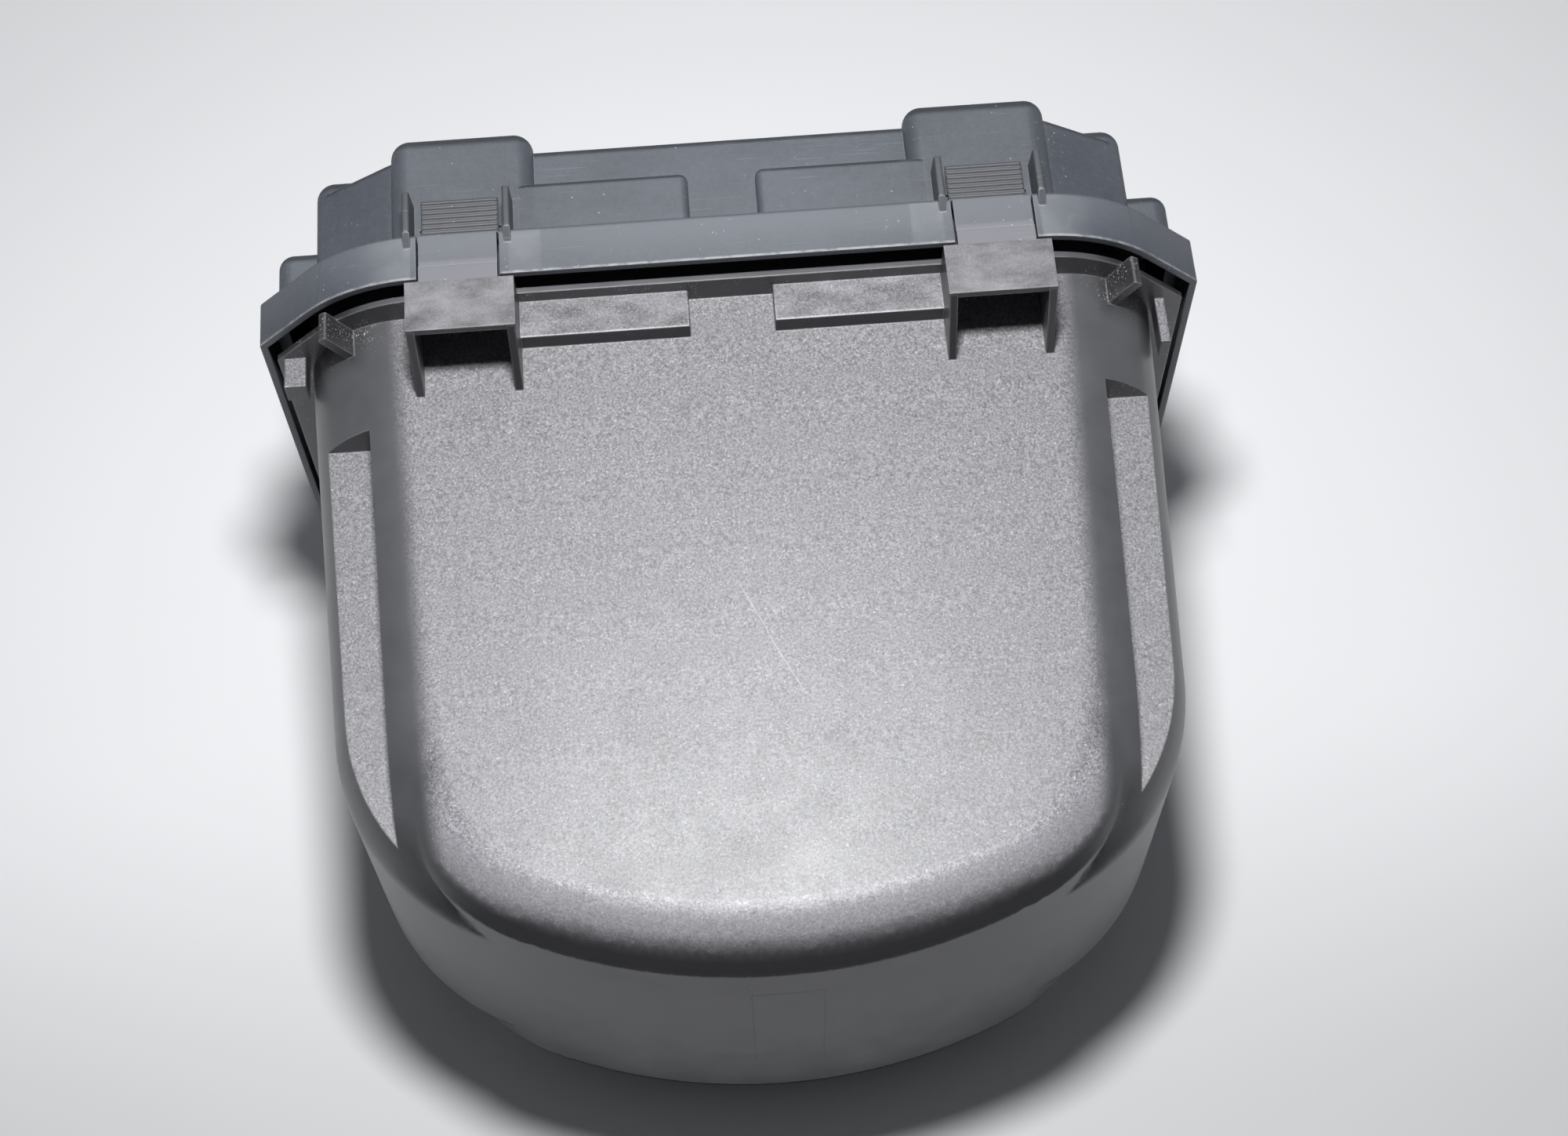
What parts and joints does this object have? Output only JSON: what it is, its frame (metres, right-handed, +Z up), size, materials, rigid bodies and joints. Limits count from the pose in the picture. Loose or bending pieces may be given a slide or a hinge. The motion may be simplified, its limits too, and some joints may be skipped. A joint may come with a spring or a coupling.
{
  "type": "latched-lid housing",
  "caption": "Deep D-shaped moulded plastic tub with a stepped lid, latch loops, ribbed thumb tongues and side rebates, lying on its back.",
  "frame": {"origin": "centre of the footprint, on the surface the housing lies on", "axes": "+Z up, +Y towards the lid, X across the broad face"},
  "size_m": [0.2912, 0.2909, 0.2045],
  "materials": {
    "tub_plastic": "fine spark-eroded grain on the broad faces, smooth sides",
    "lid_plastic": "smooth satin"
  },
  "bodies": {
    "tub": {"tub": "tub_plastic"},
    "lid": {"lid": "lid_plastic"}
  },
  "joints": [
    {"name": "lid_pull", "type": "slide", "parent": "tub", "child": "lid", "axis": [0, 0.9841, 0.1775], "range_m": [0, 0.08]}
  ]
}
